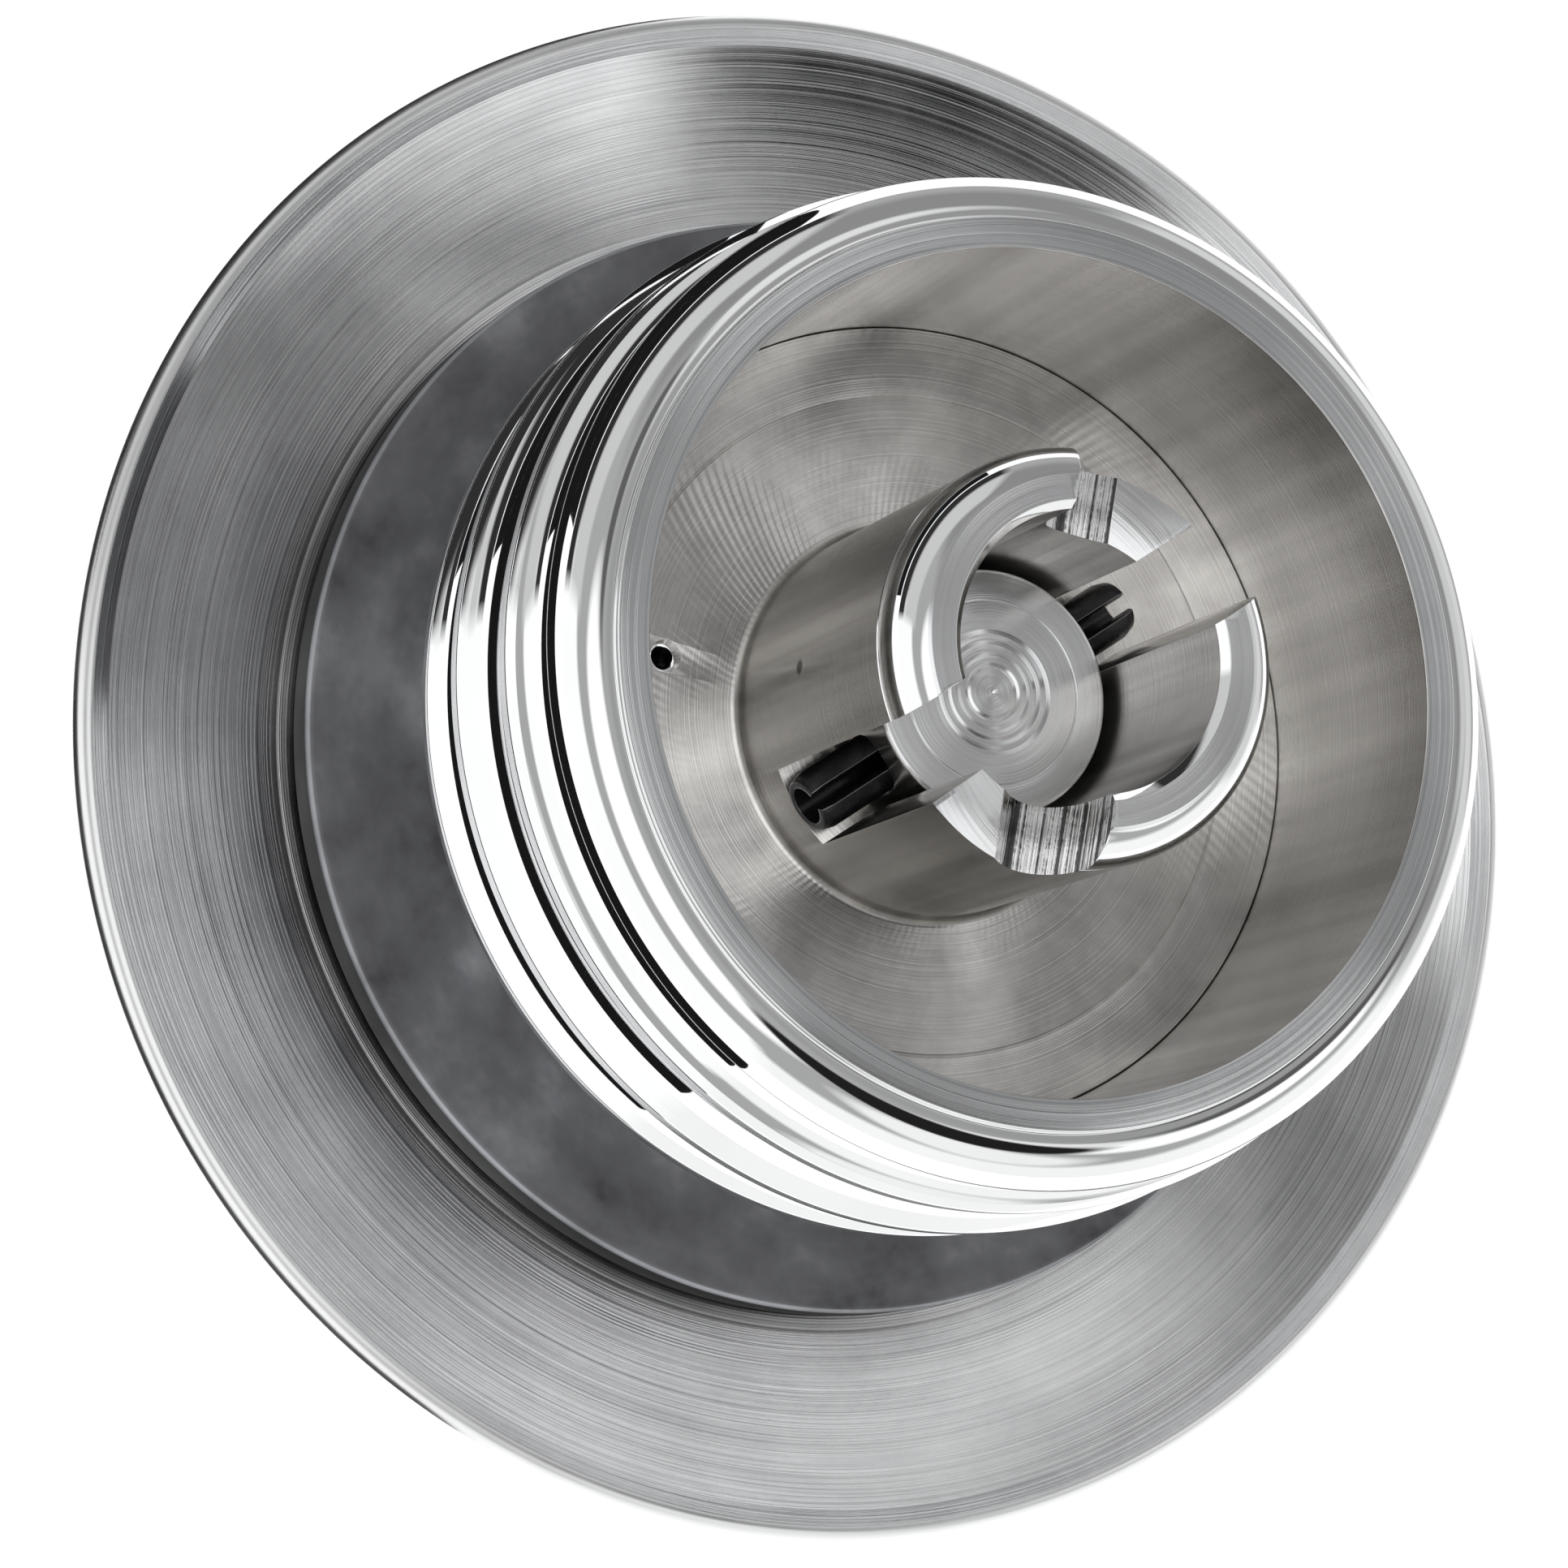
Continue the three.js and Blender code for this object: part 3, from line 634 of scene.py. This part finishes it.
def collar_outline():
    neck_top = (NECK_R, RIBS[0][1] - NECK_COVE)
    neck_low = WASHER_TOP + FIT
    outline = [
        (WELL_R, SPIGOT_END, 0.3),
        (SPIGOT_R, SPIGOT_END, 0.8),
        (SPIGOT_R, neck_low, 0.1),
        (NECK_R, neck_low, 0.1),
        (*neck_top, 0),
        *arc(neck_top, RIBS[0], SCALLOP_DEPTH, 14),
    ]
    for (radius, rib_low), following in zip(RIBS, RIBS[1:]):
        groove = (radius - RIB_BEVEL, rib_low + RIB_LAND + RIB_BEVEL)
        outline += [
            (radius, rib_low, 0.12),
            (radius, rib_low + RIB_LAND, 0.3),
            (*groove, 0.15),
            *arc(groove, following, SCALLOP_DEPTH, 22),
        ]
    bead_top = (RIM_R + RIM_STEP_WIDTH, RIM_Z - RIM_STEP)
    outline += [
        (*RIBS[-1], 0.2),
        *arc(RIBS[-1], bead_top, BEAD_SAGITTA, 28),
        (*bead_top, 0),
        (RIM_R, RIM_Z - RIM_STEP, 0.12),
        (RIM_R, RIM_Z, 0.1),
        (CUP_R, RIM_Z, 0.08),
        (CUP_R, FLOOR_Z - FLOOR_THICKNESS, 0.1),
        (WELL_R, FLOOR_Z - FLOOR_THICKNESS, 0.1),
    ]
    return outline


def build_collar():
    collar = paint(turned("collar", collar_outline(), 320, 5), CHROME, SATIN, RIM)
    paint_where(collar, 1, lambda r, z, n: r < CUP_R + 0.05)
    paint_where(collar, 2, lambda r, z, n: n.z > 0.95 and z > RIM_Z - 0.05)
    finish_piece(collar, "hub", "bright_chrome", "ribbed_collar")


# ---- bayonet boss ----------------------------------------------------------------------------
def notch_cutters(slot_angle):
    """The notch's round cutter and the wedge that slopes the tooth between it and its slot."""
    turn = about_z(slot_angle + NOTCH_ANGLE)
    half = SLOT_WIDTH / 2
    axis_z = NOTCH_FLOOR + half
    reach = 20
    round_cutter = cylinder_piece("round", half, 0, reach)
    place(round_cutter, turn @ shift(0, 0, axis_z) @ LYING)
    height = 12
    above = box_piece("above", (reach, SLOT_WIDTH, height), (reach / 2, 0, axis_z + height / 2))
    place(above, turn)
    slope = math.tan(math.radians(RAMP_SLOPE))
    slot_way = math.radians(-NOTCH_ANGLE)
    bm = bmesh.new()
    span = 2 * reach
    corners = [(0, 0), (span * math.cos(slot_way), span * math.sin(slot_way)), (span, 0)]
    foot, head = ([bm.verts.new((px * MM, py * MM, (base - py * slope) * MM))
                   for px, py in corners] for base in (RAMP_Z, BOSS_TOP + 2))
    bm.faces.new(foot)
    bm.faces.new(head)
    for k in range(3):
        bm.faces.new((foot[k], foot[(k + 1) % 3], head[(k + 1) % 3], head[k]))
    wedge = place(add_object("wedge", bm), turn)
    return [paint(round_cutter, MILLED), paint(above, MILLED), paint(wedge, FACE)]


BUSH_BORE_R = 7.45
TAIL_R = 11
FLOOR_LINE_R = 21.8
FLOOR_LINE_DEPTH = 0.12
BOSS_SAGITTA = -0.75


def boss_outline():
    edge = CUP_R - 0.05
    under_floor = FLOOR_Z - FLOOR_THICKNESS + FIT
    well_floor = FLOOR_Z + 0.4
    round_low = (BOSS_R, BOSS_ROUND_Z)
    round_top = (BOSS_FACE_R, BOSS_TOP)
    return [
        (BUSH_BORE_R, TAIL_END, 0.2),
        (TAIL_R, TAIL_END, 0.3),
        (TAIL_R, under_floor, 0.2),
        (edge, under_floor, 0.2),
        (edge, FLOOR_Z, 0.15),
        (FLOOR_LINE_R + FLOOR_LINE_DEPTH, FLOOR_Z, 0.04),
        (FLOOR_LINE_R, FLOOR_Z - FLOOR_LINE_DEPTH, 0.03),
        (FLOOR_LINE_R - FLOOR_LINE_DEPTH, FLOOR_Z, 0.04),
        (BOSS_R, FLOOR_Z, BOSS_FILLET),
        (BOSS_R, BOSS_ROUND_Z - 0.16, 0.04),
        (BOSS_R - 0.07, BOSS_ROUND_Z - 0.08, 0.04),
        (*round_low, 0.1),
        *arc(round_low, round_top, BOSS_SAGITTA, 18),
        (*round_top, 0.2),
        (BORE_R + 0.5, BOSS_TOP, 0.1),
        (BORE_R, BOSS_TOP - 0.5, 0.1),
        (BORE_R, well_floor, 0.3),
        (BUSH_BORE_R, well_floor, 0.1),
    ]


def build_boss():
    boss = paint(turned("boss", boss_outline(), 256, 5), NICKEL, SATIN, CHROME, FACE, MILLED)
    bright = BOSS_ROUND_Z - 0.3
    paint_where(boss, 1, lambda r, z, n: r < BOSS_R + 0.1 and z > FLOOR_Z - 0.01)
    paint_where(boss, 2, lambda r, z, n: z > bright and r > BORE_R + 0.1)
    paint_where(boss, 3, lambda r, z, n: z > BOSS_TOP - 0.05 and n.z > 0.9)
    slots = paint(box_piece("slots", (SLOT_WIDTH, 60, 40), (0, 0, SLOT_FLOOR + 20)), SATIN)
    drill = paint(cylinder_piece("drill", VENT["r"], FLOOR_Z - 5, FLOOR_Z + 1, 32), BLACK)
    sink_low = FLOOR_Z - (VENT["sink"] - VENT["r"])
    sink = cylinder_piece("sink", VENT["r"], sink_low, sink_low + 1, 32, VENT["r"] + 1)
    paint(sink, CHROME)
    for hole in (drill, sink):
        place(hole, about_z(VENT["angle"]) @ shift(VENT["place"], 0, 0))
    cut(boss, [slots, *notch_cutters(-90), *notch_cutters(90), drill, sink])
    boss.data.set_sharp_from_angle(angle=math.radians(30))
    soften_edges(boss, 0.1, 2, 40)
    finish_piece(boss, "hub", "satin_nickel", "bayonet_boss")


# ---- plunger, pin and button -----------------------------------------------------------------
POST_FOOT = 30.6

# Rings cut in the plunger's face: radius, half width, depth.
PLUNGER_RINGS = [
    (5.9, 0.05, 0.05),
    (3.75, 0.3, 0.06),
    (3.1, 0.25, 0.05),
    (2.4, 0.2, 0.03),
    (1.7, 0.2, 0.08),
]


def build_plunger():
    rings = []
    for r, width, depth in PLUNGER_RINGS:
        rings += [
            (r + width, POST_FACE, 0.1),
            (r, POST_FACE - depth, 0.08),
            (r - width, POST_FACE, 0.1),
        ]
    outline = [
        (0, STEM_END, 0),
        (STEM_R, STEM_END, 0.4),
        (STEM_R, POST_FOOT, 0.2),
        (POST_R, POST_FOOT, 0.4),
        (POST_R, POST_FACE, 0.3),
        *rings,
        (0.35, POST_FACE, 0.03),
        (0, POST_FACE - 0.3, 0),
    ]
    plunger = paint(turned("plunger_post", outline, 192, 5), FACE, SATIN)
    paint_where(plunger, 1, lambda r, z, n: n.z < 0.7 and z < POST_FACE - 0.2)
    hole = paint(cylinder_piece("hole", PIN_R + 0.06, -20, 20, 64), SATIN)
    place(hole, shift(0, 0, PIN_Z) @ Matrix.Rotation(math.radians(90), 4, "X"))
    cut(plunger, [hole])
    plunger.data.set_sharp_from_angle(angle=math.radians(30))
    finish_piece(plunger, "plunger", "satin_nickel", "plunger")


def build_cross_pin():
    """A rolled strip with a lengthwise slit on top and a tapered lead at each end."""
    bm = bmesh.new()
    inner = PIN_R - PIN_WALL
    half_slit = math.asin(PIN_SLIT / 2 / (PIN_R - PIN_WALL / 2))
    steps = 72
    sweep = 2 * math.pi - 2 * half_slit
    turns = [math.pi / 2 + half_slit + sweep * k / steps for k in range(steps + 1)]
    left_end = [(-PIN_HALF, 0.30), (-PIN_HALF + 0.12, 0.22), (-PIN_HALF + PIN_LEAD, 0.0)]
    stations = left_end + [(-y, taper) for y, taper in reversed(left_end)]
    loops = []
    for y, taper in stations:
        outer = [(PIN_R - taper) * Vector((math.cos(t), math.sin(t))) for t in turns]
        inside = [inner * Vector((math.cos(t), math.sin(t))) for t in reversed(turns)]
        loops.append([bm.verts.new((p.x * MM, y * MM, (PIN_Z + p.y) * MM))
                      for p in outer + inside])
    count = len(loops[0])
    for this, following in zip(loops, loops[1:]):
        join_hoops(bm, this, following)
    for loop in (loops[0], loops[-1]):
        for k in range(steps):
            bm.faces.new((loop[k], loop[k + 1], loop[count - 2 - k], loop[count - 1 - k]))
    pin = paint(add_object("spring_pin", bm, 28), BLACK, WORN_AND_HIGHLIT)
    # The bevels take the paler edge colour: worn oxide and a painted highlight.
    soften_edges(pin, 0.05, 2, 45, 1)
    finish_piece(pin, "plunger", "black_steel", "cross_pin")


SCREW_HOLE_R = 2.1
SCREW_SINK_R = 4.6
BUTTON_WALL_R = 19
SCREW_HEAD_R = 3.6
SCREW_R = 2
SOCKET_R = 1.45


def build_button():
    face = BUTTON_FACE
    top = high("push_button")
    groove_r = BUTTON_R - 1.1
    groove_low, groove_high = face + 1.5, face + 2.6
    shelf = top - 0.8
    outline = [
        (SCREW_HOLE_R, face + 2.4, 0.1),
        (SCREW_SINK_R, face + 2.4, 0.15),
        (SCREW_SINK_R, face + 0.9, 0.25),
        (9, face + 0.72, 0),
        (14, face + 0.45, 0),
        (17.6, face, 0.6),
        (BUTTON_R, face, 0.8),
        (BUTTON_R, groove_low, 0.1),
        (groove_r, groove_low, 0.1),
        (groove_r, groove_high, 0.1),
        (BUTTON_R, groove_high, 0.1),
        (BUTTON_R, top, 0.2),
        (BUTTON_WALL_R, top, 0.2),
        (BUTTON_WALL_R, shelf, 0.2),
        (SCREW_HOLE_R, shelf, 0.1),
    ]
    button = paint(turned("button", outline, 256, 6), CHROME)
    finish_piece(button, "plunger", "bright_chrome", "push_button")


def build_button_screw():
    head_low = low("button_screw")
    head_top = BUTTON_FACE + 1.9
    outline = [
        (0, head_low, 0),
        (SCREW_HEAD_R, head_low, 0.5),
        (SCREW_HEAD_R, head_top, 0.1),
        (SCREW_R, head_top, 0.1),
        (SCREW_R, high("button_screw"), 0.3),
        (0, high("button_screw"), 0),
    ]
    screw = paint(turned("socket_screw", outline, 96), STEEL)
    socket = paint(cylinder_piece("socket", SOCKET_R, head_low - 1, head_low + 1, 6), STEEL)
    cut(screw, [socket])
    soften_edges(screw, 0.08, 2, 40)
    finish_piece(screw, "plunger", "steel", "button_screw")


O_RING_R = BUTTON_R - 0.55
O_RING_SECTION_R = 0.45
O_RING_Z = BUTTON_FACE + 2.05


def build_o_ring():
    bm = bmesh.new()
    segments, sides = 192, 24
    hoops = []
    for k in range(segments):
        t = 2 * math.pi * k / segments
        hoop = []
        for j in range(sides):
            a = 2 * math.pi * j / sides
            r = O_RING_R + O_RING_SECTION_R * math.cos(a)
            z = O_RING_Z + O_RING_SECTION_R * math.sin(a)
            hoop.append(bm.verts.new((r * math.cos(t) * MM, r * math.sin(t) * MM, z * MM)))
        hoops.append(hoop)
    for this, following in zip(hoops, hoops[1:] + hoops[:1]):
        join_hoops(bm, this, following)
    o_ring = paint(add_object("button_seal", bm), RUBBER)
    finish_piece(o_ring, "plunger", "black_rubber", "button_o_ring")


WIRE_R = 0.75
SPRING_FOOT_R = 17.2
SPRING_HEAD_R = 12.9


def build_spring():
    """The conical return spring, with closed ends, as a round wire along a narrowing helix."""
    top = high("return_spring")
    foot = low("return_spring") + WIRE_R
    head = top - WIRE_R
    turns, per_turn, sides = 4, 64, 20
    steps = turns * per_turn
    bm = bmesh.new()
    path = []
    for k in range(steps + 1):
        t = k / steps
        ease = min(max((t - 0.06) / 0.88, 0), 1)
        rise = t * 0.65 + 0.35 * ease * ease * (3 - 2 * ease)
        radius = SPRING_FOOT_R + (SPRING_HEAD_R - SPRING_FOOT_R) * t
        angle = 2 * math.pi * turns * t
        path.append(Vector((radius * math.cos(angle), radius * math.sin(angle),
                            foot + (head - foot) * rise)))
    hoops = []
    for k, point in enumerate(path):
        along = (path[min(k + 1, steps)] - path[max(k - 1, 0)]).normalized()
        outward = Vector((point.x, point.y, 0)).normalized()
        across = along.cross(outward).normalized()
        outward = across.cross(along)
        ring = [outward * math.cos(a) + across * math.sin(a)
                for a in (2 * math.pi * j / sides for j in range(sides))]
        hoops.append([bm.verts.new((point + WIRE_R * way) * MM) for way in ring])
    for this, following in zip(hoops, hoops[1:]):
        join_hoops(bm, this, following)
    bm.faces.new(hoops[0])
    bm.faces.new(hoops[-1])
    spring = paint(add_object("conical_spring", bm), STEEL)
    finish_piece(spring, "hub", "steel", "return_spring")
    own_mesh(spring)


# ---- rear ring nut ---------------------------------------------------------------------------
WRENCH_SLOTS = 6
GRUB_SCREW_ANGLES = (30, 150, 270)
GRUB_HOLE_R = 1.6


def build_ring_nut():
    outline = [
        (SPIGOT_R + FIT, 0, 0.3),
        (NUT_R, 0, 1.2),
        (NUT_R, NUT_TOP, 0.3),
        (SPIGOT_R + FIT, NUT_TOP, 0.2),
    ]
    nut = paint(turned("ring_nut", outline, 256, 6), SATIN, FACE)
    paint_where(nut, 1, lambda r, z, n: n.z < -0.95)
    cutters = []
    for k in range(WRENCH_SLOTS):
        slot = paint(box_piece("slot", (3, 5, 5.2), (NUT_R + 0.3, 0, 1.6)), SATIN)
        cutters.append(place(slot, about_z(360 / WRENCH_SLOTS * k)))
    for angle in GRUB_SCREW_ANGLES:
        hole = paint(cylinder_piece("hole", GRUB_HOLE_R, SPIGOT_R - 0.5, NUT_R + 1, 32), SATIN)
        cutters.append(place(hole, about_z(angle) @ shift(0, 0, NUT_TOP - 2.2) @ LYING))
    cut(nut, cutters)
    soften_edges(nut, 0.12, 2, 40)
    finish_piece(nut, "hub", "satin_nickel", "rear_ring_nut")


# ---- the model -------------------------------------------------------------------------------
build_flange()
build_seat_washer()
build_collar()
build_boss()
build_plunger()
build_cross_pin()
build_button()
build_button_screw()
build_spring()
build_ring_nut()
build_o_ring()


KEPT_NODES = {
    "seat_gasket": FIBRE,
    "index_dowel": STEEL,
    "ring_nut_washer": STEEL,
    "ring_nut_grub_screw_1": BLACK,
    "ring_nut_grub_screw_2": BLACK,
    "ring_nut_grub_screw_3": BLACK,
    "guide_bush": BRONZE,
    "stem_seal": RUBBER,
    "spring_seat_washer": STEEL,
    "post_buffer": RUBBER,
    "screw_lock_washer": STEEL,
}
for node_name, material in KEPT_NODES.items():
    paint(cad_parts[node_name], material)


# ---- floor and light -------------------------------------------------------------------------
FLOOR_HALF_SIZE = 15
FLOOR_GAP = 0.0001
CLOTH_HEIGHT = 0.0005


def add_floor():
    """A pale floor that shows from above only, so the object's underside shows from below."""
    bm = bmesh.new()
    bmesh.ops.create_grid(bm, x_segments=1, y_segments=1, size=FLOOR_HALF_SIZE)
    floor = add_object("floor", bm)
    if floor.data.polygons[0].normal.z < 0:
        floor.data.flip_normals()
    floor.location.z = -FLOOR_GAP
    n = Nodes(bpy.data.materials.new("floor"))
    n.shader.inputs["Base Color"].default_value = (0.9, 0.9, 0.9, 1)
    n.shader.inputs["Roughness"].default_value = 0.9
    n.shader.inputs["Emission Color"].default_value = (1, 1, 1, 1)
    n.shader.inputs["Emission Strength"].default_value = 0.55
    one_sided = n.add("ShaderNodeMixShader")
    n.link(n.add("ShaderNodeNewGeometry").outputs["Backfacing"], one_sided.inputs[0])
    n.link(n.shader.outputs[0], one_sided.inputs[1])
    n.link(n.add("ShaderNodeBsdfTransparent").outputs[0], one_sided.inputs[2])
    n.link(one_sided.outputs[0], n.tree.nodes["Material Output"].inputs["Surface"])
    paint(floor, n.owner)


def dark_cloth(name, inner, outer, first, last):
    """A black cloth over the floor, which shows in reflections only.

    It lies between two radii in metres and two azimuths in degrees.
    """
    bm = bmesh.new()
    steps = 24
    turns = [math.radians(first + (last - first) * k / steps) for k in range(steps + 1)]
    near, far = ([bm.verts.new((r * math.cos(t), r * math.sin(t), CLOTH_HEIGHT)) for t in turns]
                 for r in (inner, outer))
    for k in range(steps):
        bm.faces.new((near[k], near[k + 1], far[k + 1], far[k]))
    cloth = add_object(name, bm)
    n = Nodes(bpy.data.materials.new(name))
    n.shader.inputs["Base Color"].default_value = (0.015, 0.015, 0.016, 1)
    n.shader.inputs["Roughness"].default_value = 1.0
    n.shader.inputs["Specular IOR Level"].default_value = 0.0
    paint(cloth, n.owner)
    cloth.visible_camera = False
    cloth.visible_shadow = False
    cloth.visible_diffuse = False


ROOM_BRIGHTNESS = 0.42

# Panels: azimuth, elevation, half width, half height, softness (degrees), brightness.
STUDIO = [
    (-20, 8, 75, 16, 8, 1.0),
    (110, 40, 50, 16, 14, 0.28),
    (78, 20, 30, 8, 6, 0.7),
    (-105, 12, 46, 24, 5, 1.1),
    (180, 30, 34, 12, 5, 0.62),
    (180, 2, 34, 10, 4, 0.03),
]

# Round lights and flags: azimuth, elevation, radius, softness (degrees), brightness.
DISCS = [
    (-12, 44, 12, 6, 0.95),
    (38, 50, 10, 4, 1.1),
    (110, 60, 5, 4, 0.8),
    (47, 63, 3, 3, 0.85),
    (59, 56, 4, 3, 0.1),
    (122, 70, 5, 3, 0.12),
    (-100, 78, 19, 5, 1.15),
    (15, 66.5, 11, 2.5, 0.015),
    (76, 38, 7, 6, 0.62),
]


def fading_out(n, angle, edge, soft):
    """1 up to the edge and 0 past its softness. The angle is in radians, the others in degrees."""
    return n.spread(angle, math.radians(edge), math.radians(edge + soft), 1, 0)


def moved_towards(n, light, value, inside):
    change = n.math("MULTIPLY", n.math("SUBTRACT", value, light), inside)
    return n.math("ADD", light, change)


def add_world():
    """A grey room with soft panels, round lights and dark flags, given by direction."""
    scene.world = bpy.data.worlds.new("studio")
    n = Nodes(scene.world)
    split = n.add("ShaderNodeSeparateXYZ")
    n.link(n.add("ShaderNodeTexCoord").outputs["Generated"], split.inputs[0])
    azimuth = n.math("ARCTAN2", split.outputs[1], split.outputs[0])
    elevation = n.math("ARCSINE", split.outputs[2])
    light = ROOM_BRIGHTNESS
    for place_az, place_el, half_width, half_height, soft, value in STUDIO:
        away = n.math("SUBTRACT", azimuth, math.radians(place_az))
        sideways = n.math("ABSOLUTE", n.math("WRAP", away, math.pi, -math.pi))
        upwards = n.math("ABSOLUTE", n.math("SUBTRACT", elevation, math.radians(place_el)))
        inside = n.math("MULTIPLY", fading_out(n, sideways, half_width, soft),
                        fading_out(n, upwards, half_height, soft))
        light = moved_towards(n, light, value, inside)
    for place_az, place_el, radius, soft, value in DISCS:
        az, el = math.radians(place_az), math.radians(place_el)
        centre = (math.cos(az) * math.cos(el), math.sin(az) * math.cos(el), math.sin(el))
        parts = [n.math("MULTIPLY", split.outputs[k], centre[k]) for k in range(3)]
        near = n.math("ADD", n.math("ADD", parts[0], parts[1]), parts[2])
        angle = n.math("ARCCOSINE", n.math("MINIMUM", near, 1.0))
        light = moved_towards(n, light, value, fading_out(n, angle, radius, soft))
    background = n.tree.nodes["Background"]
    n.link(light, background.inputs["Strength"])
    background.inputs["Color"].default_value = (1, 1, 1, 1)


add_floor()
add_world()
dark_cloth("near_cloth", 0.056, 0.145, 150, 300)
dark_cloth("far_cloth", 0.145, 1.2, 150, 208)
